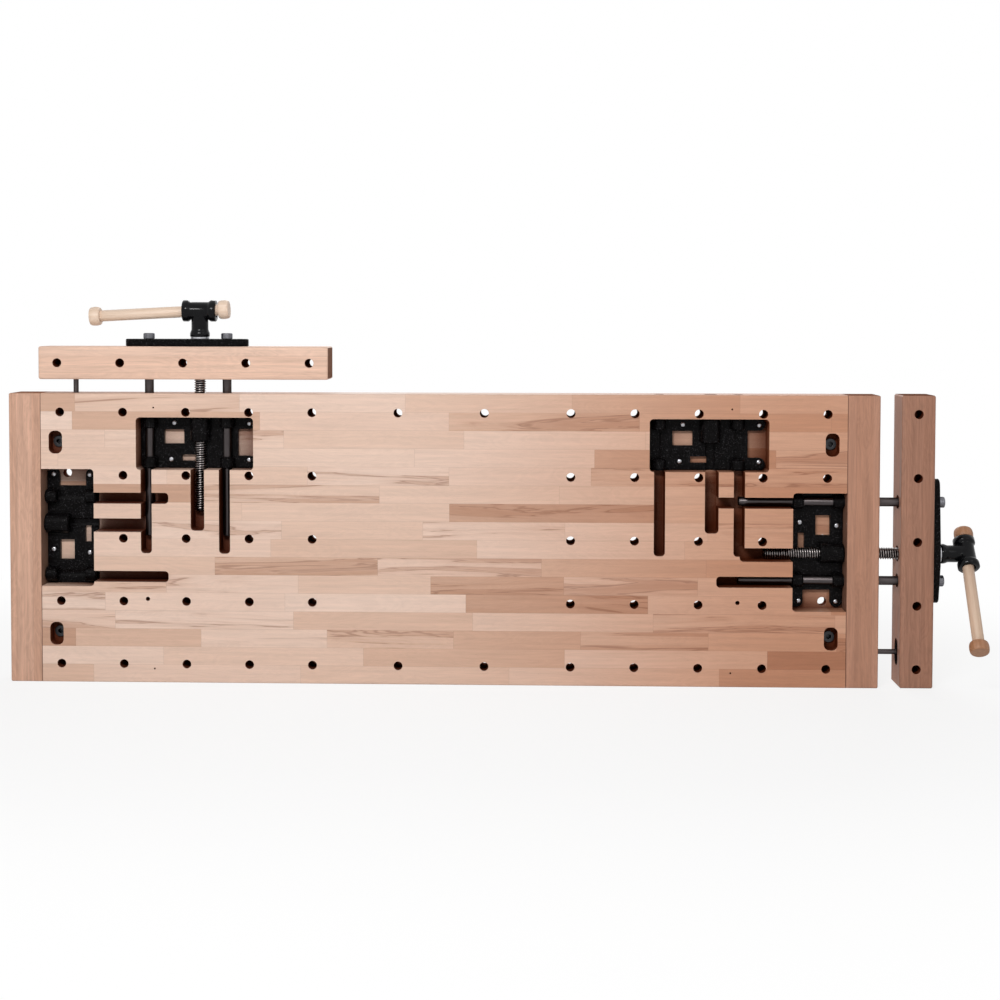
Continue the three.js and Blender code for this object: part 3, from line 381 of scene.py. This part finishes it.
def wood(
    name,
    grain,
    across,
    tones,
    end_tone,
    seed,
    stave=PLAIN_STAVE,
    length=PLAIN_LENGTH,
    streaks=0.0,
    contrast=1.0,
    painted_falloff=None,
    joint=None,
):
    """Laminated timber: staves of one height and mixed lengths, grain along one axis."""
    n = Nodes(bpy.data.materials.new(name))
    xyz = n.split(n.place())
    third = ({"X", "Y", "Z"} - {grain, across}).pop()
    along, over, deep = xyz[grain], xyz[across], xyz[third]

    # Rows of staves, each row with its own lengths and start
    level = n.math("DIVIDE", n.math("ADD", over, ROWS_BELOW * stave + STAVE_MARGIN), stave)
    row = n.math("FLOOR", level)
    per_row = n.random(n.vector(row, seed, ROW_DRAW))
    stretch = n.math("MULTIPLY_ADD", per_row[1], LENGTH_SPREAD, LENGTH_LEAST)
    reach = n.math("MULTIPLY", stretch, length)
    start = n.math("ADD", along, RUN_START)
    run = n.math("DIVIDE", n.math("MULTIPLY_ADD", per_row[0], ROW_SHIFT, start), reach)
    pick = n.random(n.vector(row, n.math("FLOOR", run), seed))

    # Each stave has its own piece of grain
    own = n.math("MULTIPLY", pick[1], GRAIN_SHIFT)

    def grain_noise(scales, detail, distortion):
        spot = n.stretched((along, over, deep), scales, (own, 0.0, own))
        return n.noise(spot, detail=detail, rough=GRAIN_ROUGH, distortion=distortion)

    fine = grain_noise(*FINE_GRAIN)
    rings = n.from_whole(n.math("MULTIPLY", grain_noise(*RING_GRAIN), RING_COUNT))
    off_fine = n.math("SUBTRACT", fine, FINE_MEAN)
    off_ring = n.math("SUBTRACT", rings, RING_MEAN)
    shade = n.math("MULTIPLY_ADD", off_fine, FINE_SHADE * contrast, 1.0)
    shade = n.math("MULTIPLY_ADD", off_ring, RING_SHADE * contrast, shade)
    base = n.ramp(pick[0], tones)
    toned = n.mix(1.0, base, n.vector(shade, shade, shade), "MULTIPLY")

    # Broad heartwood bands with thin dark veins, on some staves
    band = grain_noise(*BAND_GRAIN)
    chosen = n.between(pick[2], 1.0 - streaks, 1.0 + BAND_CHOICE - streaks)
    broad = n.between(band, *BAND_EDGES, out_high=BAND_STRENGTH)
    toned = n.mix(n.math("MULTIPLY", broad, chosen), toned, BAND_TONE)
    off_vein = n.math("ABSOLUTE", n.math("SUBTRACT", band, VEIN_LEVEL))
    vein = n.between(off_vein, 0.0, VEIN_WIDTH, VEIN_STRENGTH, 0.0)
    toned = n.mix(n.math("MULTIPLY", vein, chosen), toned, VEIN_TONE)

    # Short dark flecks of beech
    flecks = n.noise(n.stretched((along, over, deep), FLECK_SCALES), detail=1.0)
    toned = n.mix(n.between(flecks, *FLECK_EDGES, out_high=FLECK_STRENGTH), toned, FLECK_TONE)

    # Glue lines between staves and at their butt joints
    seam = n.math("LESS_THAN", n.from_whole(level), SEAM_WIDTH / stave)
    from_butt = n.math("MULTIPLY", n.from_whole(run), reach)
    butt = n.math("LESS_THAN", from_butt, BUTT_WIDTH)
    line = n.math("MULTIPLY", n.math("MAXIMUM", seam, butt), GLUE_STRENGTH)
    toned = n.mix(line, toned, GLUE_TONE)

    # Painted shade: a dark line along the joint between slab and end caps, where the gap falls
    # into shade
    if joint:
        from_joint = n.math("SUBTRACT", n.math("ABSOLUTE", xyz["X"]), joint)
        joint_shade = n.math("LESS_THAN", n.math("ABSOLUTE", from_joint), TIMBER_BEVEL)
        toned = n.mix(n.math("MULTIPLY", joint_shade, JOINT_SHADE_STRENGTH), toned, JOINT_SHADE_TONE)

    # End grain soaks up more oil and is darker and duller
    normal = n.split(n.add("ShaderNodeNewGeometry").outputs["Normal"])
    end = n.between(n.math("ABSOLUTE", normal[grain]), *END_EDGES)
    toned = n.mix(n.math("MULTIPLY", end, END_STRENGTH), toned, end_tone)

    # Painted shade: darker and redder towards the +X end, for the light falling off there
    if painted_falloff:
        toned = n.mix(n.between(along, *painted_falloff), toned, FALLOFF_SHADE_TONE, "MULTIPLY")

    # Painted shade: bores, grooves and sockets are painted darker and duller the less open
    # they are
    hollow = n.add("ShaderNodeAmbientOcclusion", samples=HOLLOW_SAMPLES, only_local=True)
    hollow.inputs["Distance"].default_value = HOLLOW_REACH
    open_share = hollow.outputs["AO"]
    painted_shade = n.between(open_share, *HOLLOW_EDGES, PAINTED_SHADE_STRENGTH, 0.0)
    sheen = n.between(open_share, *HOLLOW_EDGES, 0.0, WOOD_SHEEN)
    n.surface("Base Color", n.mix(painted_shade, toned, PAINTED_SHADE_TONE))
    n.surface("Roughness", n.between(fine, *NOISE_SPREAD, *WOOD_ROUGHNESS))
    n.surface("Specular IOR Level", n.math("MULTIPLY", sheen, n.math("SUBTRACT", 1.0, end)))
    n.bump(fine, strength=0.12, distance=0.4 * MM)
    return n.owner


def turned_wood(name, light, dark, seed):
    """Close-grained beech turned along its own z axis."""
    n = Nodes(bpy.data.materials.new(name))
    spot = n.stretched(n.split(n.place()), TURNED_SCALES, (seed, 0.0, 0.0))
    fine = n.noise(spot, scale=1.2, detail=6.0, rough=GRAIN_ROUGH)
    n.surface("Base Color", n.ramp(fine, [(0.25, dark), (0.7, light)]))
    n.surface("Roughness", n.between(fine, *NOISE_SPREAD, out_low=0.38, out_high=0.55))
    n.surface("Specular IOR Level", 0.4)
    n.bump(fine, strength=0.08, distance=0.3 * MM)
    return n.owner


def casting():
    """Rough cast iron under black enamel, with glints painted into its colour as grey specks.
    """
    n = Nodes(bpy.data.materials.new("black_casting"))
    place = n.place()
    grit = n.noise(place, scale=620.0, detail=3.0, rough=0.65)
    lumps = n.noise(place, scale=150.0, detail=2.0)
    glint_noise = n.noise(place, scale=430.0, detail=2.0, rough=0.7)
    black = n.ramp(lumps, [(0.3, (0.0015, 0.0012, 0.0013)), (0.75, (0.004, 0.0033, 0.0036))])
    # Painted highlight: grey specks in the base colour stand in for glints
    painted_glint = n.between(glint_noise, 0.6, 0.7, out_high=0.35)
    n.surface("Base Color", n.mix(painted_glint, black, (0.16, 0.155, 0.165)))
    n.surface("Roughness", n.between(grit, 0.35, 0.7, out_low=0.22, out_high=0.36))
    n.surface("Specular IOR Level", 0.05)
    n.bump(n.math("MULTIPLY_ADD", lumps, 0.6, grit), strength=0.2, distance=0.7 * MM)
    return n.owner


def enamel():
    """Gloss black enamel on the handle hub."""
    n = Nodes(bpy.data.materials.new("black_enamel"))
    ripple = n.noise(n.place(), scale=90.0, detail=3.0, rough=0.55)
    black = n.ramp(ripple, [(0.3, (0.002, 0.002, 0.0025)), (0.8, (0.005, 0.005, 0.006))])
    n.surface("Base Color", black)
    n.surface("Roughness", n.between(ripple, *MARK_SPREAD, out_low=0.12, out_high=0.2))
    n.surface("Specular IOR Level", 0.14)
    n.bump(ripple, strength=0.05, distance=0.8 * MM)
    return n.owner


def metal(name, dark, light, roughness, scale=700.0, stretch=1.0, bump=0.06):
    """Drawn or plated steel with fine marks along or around the piece."""
    n = Nodes(bpy.data.materials.new(name))
    spot = n.stretched(n.split(n.place()), (scale, scale, scale * stretch))
    marks = n.noise(spot, detail=5.0, rough=0.6)
    low, high = MARK_SPREAD
    n.surface("Base Color", n.ramp(marks, [(low, dark), (high, light)]))
    n.surface("Roughness", n.between(marks, low, high, *roughness))
    n.surface("Metallic", 1.0)
    n.surface("Specular Tint", light)
    n.bump(marks, strength=bump, distance=0.1 * MM)
    return n.owner


def thread_steel():
    """Screw thread with bright crests and dark roots: partly wear and oil, partly painted
    highlight on the crests and painted shade in the roots.
    """
    n = Nodes(bpy.data.materials.new("thread_steel"))
    place = n.place()
    x, y, _ = n.split(place)
    root_end = SCREW_RADIUS - THREAD_DEPTH + ROOT_RISE
    crest = n.between(n.length(n.vector(x, y, 0.0)), root_end, SCREW_RADIUS - CREST_DROP)
    wear = n.noise(place, scale=160.0)
    low, high = MARK_SPREAD
    crest_wear_and_highlight = n.ramp(wear, [(low, (0.16, 0.14, 0.135)), (high, (0.5, 0.46, 0.45))])
    # Painted highlight and shade: bright crests, near-black roots
    n.surface("Base Color", n.mix(crest, (0.008, 0.006, 0.006), crest_wear_and_highlight))
    n.surface("Roughness", n.between(wear, low, high, out_low=0.2, out_high=0.36))
    n.surface("Metallic", 1.0)
    return n.owner


SLAB_TONES = [
    (0.0, "dcbeac"),
    (0.3, "e2c8b8"),
    (0.7, "d8b8a4"),
    (0.88, "cda993"),
    (1.0, "b9917a"),
]


def close_tones(tone, other):
    return [(0.0, tone), (1.0, other)]


looks = {
    "slab": wood(
        "slab_beech",
        grain="X",
        across="Z",
        tones=SLAB_TONES,
        end_tone="9a6a50",
        seed=11.0,
        stave=STAVE_HEIGHT,
        length=STAVE_LENGTH,
        streaks=0.3,
        painted_falloff=SLAB_FALLOFF_STRETCH,
        joint=CAP_JOINT,
    ),
    "cap_left": wood(
        "cap_beech_left",
        grain="Z",
        across="X",
        tones=close_tones("caa28c", "c29881"),
        end_tone="8e5f47",
        seed=5.0,
        contrast=2.6,
        joint=CAP_JOINT,
    ),
    # Toned darker than the left cap: painted shade for the light falling off towards the +X
    # end
    "cap_right": wood(
        "cap_beech_right",
        grain="Z",
        across="X",
        tones=close_tones("bd8f79", "b08169"),
        end_tone="7e5442",
        seed=3.0,
        streaks=0.4,
        contrast=2.2,
        joint=CAP_JOINT,
    ),
    "jaw_front": wood(
        "jaw_beech_front",
        grain="X",
        across="Z",
        tones=close_tones("e0bfab", "dab59f"),
        end_tone="6d4433",
        seed=2.0,
        contrast=1.8,
    ),
    # Toned darker than the front jaw: painted shade for the light falling off towards the +X
    # end
    "jaw_end": wood(
        "jaw_beech_end",
        grain="Z",
        across="X",
        tones=close_tones("a57964", "9d715c"),
        end_tone="6d4433",
        seed=8.0,
        contrast=2.8,
    ),
    "handle_front": turned_wood("turned_beech_pale", "e8d2bf", "d8bba2", seed=1.0),
    "handle_end": turned_wood("turned_beech_end", "e0c5ad", "cba990", seed=4.0),
    "knob_end": turned_wood("turned_beech_brown", "b48465", "9a6b48", seed=9.0),
    "casting": casting(),
    "enamel": enamel(),
    "steel": metal(
        "dark_steel",
        dark=(0.05, 0.042, 0.042),
        light=(0.105, 0.092, 0.093),
        roughness=(0.28, 0.42),
        scale=900.0,
        stretch=0.03,
        bump=0.05,
    ),
    "thread": thread_steel(),
    "bolt": metal(
        "bolt_zinc", dark=(0.1, 0.1, 0.11), light=(0.22, 0.22, 0.24), roughness=(0.25, 0.4)
    ),
    "insert": metal(
        "dull_zinc", dark=(0.03, 0.03, 0.032), light=(0.075, 0.075, 0.08), roughness=(0.3, 0.5)
    ),
    "zinc": metal(
        "zinc_steel", dark=(0.36, 0.36, 0.38), light=(0.56, 0.56, 0.58), roughness=(0.22, 0.38)
    ),
}


def linked(name, data):
    """A new object in the scene."""
    obj = bpy.data.objects.new(name, data)
    bpy.context.scene.collection.objects.link(obj)
    return obj


def paint(obj, look):
    obj.data.materials.clear()
    obj.data.materials.append(looks[look])


def piece(name, mesh, node, look, matrix=None):
    """A new piece that stands for a CAD node and moves with its body."""
    obj = linked(name, mesh)
    if matrix is not None:
        obj.matrix_world = matrix
    paint(obj, look)
    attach(obj, node_body[node])
    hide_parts(node)


def finish_mesh(bm, name, rounded=frozenset()):
    """Smooth shading with creases kept sharp, and flat faces flat beside their rounding."""
    bmesh.ops.recalc_face_normals(bm, faces=bm.faces)
    for face in bm.faces:
        face.smooth = True
    for edge in bm.edges:
        wide = len(edge.link_faces) == 2 and edge.calc_face_angle(0) > SMOOTH_ANGLE
        border = len({face in rounded for face in edge.link_faces}) == 2
        edge.smooth = not (wide or border)
    mesh = bpy.data.meshes.new(name)
    bm.to_mesh(mesh)
    bm.free()
    return mesh


def softened(node, width):
    """The solid of a CAD node with its corners rounded over."""
    bm = bmesh.new()
    bm.from_mesh(frame["nodes"][node].data)
    bmesh.ops.remove_doubles(bm, verts=bm.verts, dist=WELD)
    bmesh.ops.dissolve_limit(
        bm, angle_limit=FLAT_ANGLE, verts=bm.verts, edges=bm.edges, delimit=set()
    )
    sharp = [
        e for e in bm.edges if len(e.link_faces) == 2 and e.calc_face_angle(0) > BEVEL_ANGLE
    ]
    made = bmesh.ops.bevel(
        bm,
        geom=sharp,
        offset=width,
        segments=BEVEL_SEGMENTS,
        profile=ROUND_PROFILE,
        affect="EDGES",
        clamp_overlap=True,
    )
    bmesh.ops.dissolve_degenerate(bm, dist=WELD, edges=bm.edges)
    rounded = {face for face in made["faces"] if face.is_valid}
    return finish_mesh(bm, node + "_look", rounded)


def ring(bm, radii, height):
    """Vertices around z at one height, with a radius each."""
    turns = [2 * math.pi * i / len(radii) for i in range(len(radii))]
    return [
        bm.verts.new((radius * math.cos(turn), radius * math.sin(turn), height))
        for radius, turn in zip(radii, turns)
    ]


def skin(bm, rings):
    """Faces from each ring to the next; a ring of one vertex closes on the axis."""
    for low, high in zip(rings, rings[1:]):
        sides = max(len(low), len(high))
        for i in range(sides):
            j = (i + 1) % sides
            under = (low[i % len(low)], low[j % len(low)])
            above = (high[j % len(high)], high[i % len(high)])
            bm.faces.new(list(dict.fromkeys(under + above)))


def lathe(profile, segments=FINE_SEGMENTS):
    """A body turned about z from radius and height pairs that start and end on the axis."""
    bm = bmesh.new()
    skin(bm, [ring(bm, [r] * (segments if r > WELD else 1), height) for r, height in profile])
    return bm


def middle(node):
    low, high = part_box(node)
    return (Vector(low) + Vector(high)) / 2


def half_thickness(node):
    low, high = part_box(node)
    return min(Vector(high) - Vector(low)) / 2


def span(node, axis):
    """Where a node starts and ends along an axis of the frame."""
    low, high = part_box(node)
    i = max(range(3), key=lambda k: abs(axis[k]))
    return low[i], high[i]


def facing(axis, origin):
    """Places a z-built piece with its z along an axis."""
    turn = Vector(axis).normalized().to_track_quat("Z", "Y").to_matrix().to_4x4()
    return Matrix.Translation(origin) @ turn


def carved(objects):
    """The first object's mesh with its modifiers applied; the working objects go."""
    bpy.context.view_layer.update()
    graph = bpy.context.evaluated_depsgraph_get()
    mesh = bpy.data.meshes.new_from_object(objects[0].evaluated_get(graph))
    for obj in objects:
        bpy.data.objects.remove(obj)
    bm = bmesh.new()
    bm.from_mesh(mesh)
    return bm


# Wood: the CAD solids keep their shape and get their timber
for node, look in (
    ("top_slab", "slab"),
    ("left_end_cap", "cap_left"),
    ("right_end_cap", "cap_right"),
    ("front_jaw", "jaw_front"),
    ("end_jaw", "jaw_end"),
):
    piece(node + "_timber", softened(node, TIMBER_BEVEL), node, look)

# Castings and fasteners that follow their solids with rounded corners
for node in list(frame["nodes"]):
    bracket = node.startswith("bracket_") and "screw" not in node
    if bracket or node.endswith("face_plate"):
        piece(node + "_casting", softened(node, CASTING_BEVEL), node, "casting")
    elif "rod_bolt" in node:
        piece(node + "_plated", softened(node, BOLT_BEVEL), node, "bolt")
    elif node.startswith("leg_insert"):
        piece(node + "_plated", softened(node, THIN_BEVEL), node, "insert")
    elif node.endswith("thrust_washer"):
        piece(node + "_plated", softened(node, THIN_BEVEL), node, "zinc")
    elif node.endswith(("guide_pin", "retaining_collar")):
        piece(node + "_steel", softened(node, BOLT_BEVEL), node, "steel")
    elif "plate_screw" in node:
        paint(frame["nodes"][node], "steel")


def pan_head():
    """A domed screw head with a cross recess, and the plain shank under it."""
    crown = HEAD_HEIGHT - HEAD_EDGE
    profile = [(0, -POINT_LENGTH), (SHANK_RADIUS, -SHANK_LENGTH), (SHANK_RADIUS, 0)]
    profile.append((HEAD_RADIUS, 0))
    for i in range(HEAD_STEPS + 1):
        turn = math.pi / 2 * i / HEAD_STEPS
        profile.append((HEAD_RADIUS * math.cos(turn), HEAD_EDGE + crown * math.sin(turn)))
    body = finish_mesh(lathe(profile, SCREW_SEGMENTS), "pan_head")
    holder = linked("pan_head_blank", body)
    cutter = bmesh.new()
    for size in ((CROSS_LENGTH, CROSS_WIDTH), (CROSS_WIDTH, CROSS_LENGTH)):
        shape = Matrix.Diagonal((*size, 2 * CROSS_DEPTH, 1))
        place = Matrix.Translation((0, 0, HEAD_HEIGHT + CROSS_LIFT))
        bmesh.ops.create_cube(cutter, size=1, matrix=place @ shape)
    tool_mesh = bpy.data.meshes.new("cross_tool")
    cutter.to_mesh(tool_mesh)
    cutter.free()
    tool = linked("cross_tool", tool_mesh)
    cut = holder.modifiers.new("cross", "BOOLEAN")
    cut.operation = "DIFFERENCE"
    cut.use_self = True
    cut.object = tool
    return finish_mesh(carved([holder, tool]), "pan_head_cross")


screw_mesh = pan_head()
screws = sorted(n for n in frame["nodes"] if n.startswith("bracket_screw"))
for index, node in enumerate(screws):
    low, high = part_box(node)
    seat = Vector(((low[0] + high[0]) / 2, low[1] + HEAD_HEIGHT, (low[2] + high[2]) / 2))
    spin = Matrix.Rotation(CROSS_TURN * index, 4, "Z")
    piece(node + "_head", screw_mesh, node, "zinc", facing(UNDERSIDE, seat) @ spin)


def rod(node, axis):
    """A drawn guide rod with an eased inner end."""
    start, end = span(node, axis)
    radius = half_thickness(node)
    half = (end - start) / 2
    tip = [(radius - ROD_TIP * inset, -half + ROD_TIP * rise) for inset, rise in ROD_TIP_CURVE]
    profile = [(0, -half)] + tip + [(radius, half), (0, half)]
    mesh = finish_mesh(lathe(profile), node + "_look")
    piece(node + "_steel", mesh, node, "steel", facing(axis, middle(node)))


def thread_radius(turns, crest):
    """Radius of the thread form at a place counted in turns of the screw."""
    phase = turns % 1.0
    if phase < 0.5 - THREAD_FLANK:
        return crest
    if phase < 0.5:
        return crest - THREAD_DEPTH * (phase - 0.5 + THREAD_FLANK) / THREAD_FLANK
    if phase < 1.0 - THREAD_FLANK:
        return crest - THREAD_DEPTH
    return crest - THREAD_DEPTH * (1.0 - phase) / THREAD_FLANK


def lead_screw(node, axis):
    """A right-hand lead screw with its thread, plain journal and tapered tip."""
    start, end = span(node, axis)
    radius = half_thickness(node)
    length = end - start
    shoulder = length - (JAW_COLLAR_DEPTH + JOURNAL_END)
    steps = int(shoulder / THREAD_LEAD * THREAD_STEPS)
    bm = bmesh.new()
    rings = []
    for k in range(steps + 1):
        height = shoulder * k / steps
        tip = min(1.0, TIP_SHARE + height / TIP_RISE)
        turns = [height / THREAD_LEAD - i / THREAD_SEGMENTS for i in range(THREAD_SEGMENTS)]
        rings.append(ring(bm, [thread_radius(t, radius) * tip for t in turns], height))
    for height in (shoulder + WELD, length):
        rings.append(ring(bm, [JOURNAL_RADIUS] * THREAD_SEGMENTS, height))
    skin(bm, rings)
    bm.faces.new(list(reversed(rings[0])))
    bm.faces.new(rings[-1])
    mesh = finish_mesh(bm, node + "_look")
    origin = middle(node)
    origin = origin + Vector(axis) * (start - origin.dot(Vector(axis)))
    piece(node + "_threaded", mesh, node, "thread", facing(axis, origin))


def knob_profile():
    """Half outline of a barrel knob, from its socket floor round to its end."""
    profile = [
        (0, KNOB_BORE_DEPTH),
        (KNOB_BORE_RADIUS, KNOB_BORE_DEPTH),
        (KNOB_BORE_RADIUS, 0),
        (KNOB_INNER_RADIUS, 0),
    ]
    for i in range(KNOB_STEPS + 1):
        share = (1 - math.cos(math.pi * i / KNOB_STEPS)) / 2
        bulge = max(0.0, math.sin(math.pi * share)) ** KNOB_ROUNDNESS
        radius = KNOB_END_RADIUS + (KNOB_RADIUS - KNOB_END_RADIUS) * bulge
        profile.append((radius, KNOB_LENGTH * share))
    return profile + [(KNOB_FACE_RADIUS, KNOB_LENGTH), (0, KNOB_LENGTH)]


def handle(vise, bar_look, knob_look):
    """The sliding bar and its two knobs, along the axis of the bar's own slide."""
    near = Vector(joints[vise + "_handle_slide"]["axis"]).normalized()
    bar = vise + "_handle_bar"
    centre = middle(bar)
    half = HANDLE_OVERALL / 2 - (KNOB_LENGTH - KNOB_BORE_DEPTH) - KNOB_BORE_SPARE
    eased = HANDLE_RADIUS - HANDLE_EASE
    profile = [(0, -half), (eased, -half), (HANDLE_RADIUS, -half + HANDLE_EASE)]
    profile += [(HANDLE_RADIUS, half - HANDLE_EASE), (eased, half), (0, half)]
    mesh = finish_mesh(lathe(profile), bar + "_look")
    piece(bar + "_turned", mesh, bar, bar_look, facing(near, centre))
    face = HANDLE_OVERALL / 2 - KNOB_LENGTH
    for node, way in ((vise + "_handle_knob_near", near), (vise + "_handle_knob_far", -near)):
        mesh = finish_mesh(lathe(knob_profile()), node + "_look")
        piece(node + "_turned", mesh, node, knob_look, facing(way, centre + way * face))


def joined_solids(parts, name, cutters):
    """One closed mesh from overlapping turned solids, less the bores."""
    objects = []
    for bm, matrix in parts + cutters:
        mesh = finish_mesh(bm, name + "_blank")
        mesh.transform(matrix)
        objects.append(linked(name + "_blank", mesh))
    for index, obj in enumerate(objects[1:], start=1):
        step = objects[0].modifiers.new("step", "BOOLEAN")
        step.operation = "UNION" if index < len(parts) else "DIFFERENCE"
        step.solver = "MANIFOLD"
        step.object = obj
    bm = carved(objects)
    bmesh.ops.remove_doubles(bm, verts=bm.verts, dist=WELD)
    return finish_mesh(bm, name)


def flare(first, last, start, end):
    """Outline of a soft step from one radius to another, after its first point."""
    points = []
    for i in range(1, FLARE_STEPS + 1):
        swing = (1 - math.cos(math.pi * i / FLARE_STEPS)) / 2
        radius = first + (last - first) * swing
        points.append((radius, start + (end - start) * i / FLARE_STEPS))
    return points


def cylinder(radius, start, end):
    return lathe([(0, start), (radius, start), (radius, end), (0, end)])


def jaw_face(vise, out):
    """Outer face of a jaw along the screw axis."""
    return max(Vector(corner).dot(out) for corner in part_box(vise + "_jaw"))


def hub(vise, axis):
    """The tee-shaped hub: a rimmed barrel across a footed neck, bored for the handle."""
    half = HUB_LENGTH / 2
    rim = half - HUB_RIM_WIDTH
    side = [(HUB_RIM_RADIUS - HUB_EASE, half), (HUB_RIM_RADIUS, half - HUB_EASE)]
    side.append((HUB_RIM_RADIUS, rim))
    side += flare(HUB_RIM_RADIUS, HUB_RADIUS, rim, rim - HUB_RIM_TAPER)
    mirrored = [(radius, -height) for radius, height in reversed(side)]
    barrel = lathe([(0, half)] + side + mirrored + [(0, -half)])
    foot = HUB_SEAT + HUB_FOOT_LENGTH
    neck_side = [(HUB_FOOT_RADIUS - HUB_EASE, HUB_SEAT)]
    neck_side += [(HUB_FOOT_RADIUS, HUB_SEAT + HUB_EASE), (HUB_FOOT_RADIUS, foot)]
    neck_side += flare(HUB_FOOT_RADIUS, HUB_NECK_RADIUS, foot, foot + HUB_FOOT_TAPER)
    neck_side.append((HUB_NECK_RADIUS, HUB_CENTRE))
    neck = lathe([(0, HUB_SEAT)] + neck_side + [(0, HUB_CENTRE)])
    bore = cylinder(HUB_BORE_RADIUS, -HUB_LENGTH, HUB_LENGTH)
    socket = cylinder(HUB_SOCKET_RADIUS, 0, HUB_SOCKET_END)

    node = vise + "_handle_hub"
    slide = Vector(joints[vise + "_handle_slide"]["axis"]).normalized()
    out = Vector(axis)
    cross = (slide - out * slide.dot(out)).normalized()
    screw_point = middle(vise + "_lead_screw")
    base = screw_point + out * (jaw_face(vise, out) - screw_point.dot(out))
    stem = facing(out, base)
    tee = facing(cross, base + out * HUB_CENTRE)
    solids = [(barrel, tee), (neck, stem)]
    mesh = joined_solids(solids, node + "_look", [(bore, tee), (socket, stem)])
    piece(node + "_enamelled", mesh, node, "enamel")


for vise, axis in VISE_AXES.items():
    for mark in (1, 2):
        rod(f"{vise}_guide_rod_{mark}", axis)
    lead_screw(vise + "_lead_screw", axis)
    hub(vise, axis)
handle("front", "handle_front", "handle_front")
handle("end", "handle_end", "knob_end")


def floor():
    """A plain pale floor that keeps the soft shadow of the part."""
    n = Nodes(bpy.data.materials.new("floor_white"))
    n.surface("Base Color", (0.86, 0.86, 0.86))
    n.surface("Roughness", 0.9)
    n.surface("Specular IOR Level", 0.1)
    glow = n.add("ShaderNodeEmission")
    glow.inputs["Strength"].default_value = 1.0
    glow_share = n.between(n.length(n.place()), FLOOR_NEAR, FLOOR_FAR, FLOOR_GLOW, 1.0)
    blend = n.add("ShaderNodeMixShader")
    n.join(n.math("MULTIPLY", n.seen(), glow_share), blend.inputs[0])
    n.join(n.shader.outputs[0], blend.inputs[1])
    n.join(glow.outputs[0], blend.inputs[2])
    n.join(blend.outputs[0], n.tree.nodes["Material Output"].inputs["Surface"])

    mesh = bpy.data.meshes.new("floor")
    signs = ((-1, -1), (1, -1), (1, 1), (-1, 1))
    corners = [(x * FLOOR_REACH, y * FLOOR_REACH, 0) for x, y in signs]
    mesh.from_pydata(corners, [], [range(len(corners))])
    mesh.materials.append(n.owner)
    obj = linked("floor", mesh)


def world():
    """White where it is seen, softer where it only lights the part."""
    made = bpy.data.worlds.new("studio")
    bpy.context.scene.world = made
    n = Nodes(made, "Background")
    n.surface("Color", (1, 1, 1))
    n.surface("Strength", n.between(n.seen(), 0.0, 1.0, AMBIENT, 1.0))


def lamp(name, place, target, size, power):
    light = bpy.data.lights.new(name, "AREA")
    light.shape = "RECTANGLE"
    light.size, light.size_y = size
    light.energy = power
    obj = linked(name, light)
    obj.location = place
    aim = Vector(target) - Vector(place)
    obj.rotation_euler = aim.to_track_quat("-Z", "Y").to_euler()


def camera():
    data = bpy.data.cameras.new("camera")
    data.sensor_width = SENSOR
    data.lens = FOCAL_PIXELS / IMAGE_SIDE * SENSOR
    data.shift_x = 0.5 - CENTRE_PIXEL.x / IMAGE_SIDE
    data.shift_y = CENTRE_PIXEL.y / IMAGE_SIDE - 0.5
    obj = linked("camera", data)
    obj.location = CAMERA_PLACE
    obj.rotation_euler = [math.radians(a) for a in CAMERA_TURN]
    bpy.context.scene.camera = obj


floor()
world()
camera()
for settings in LAMPS:
    lamp(*settings)

bpy.context.scene.view_settings.view_transform = "Standard"
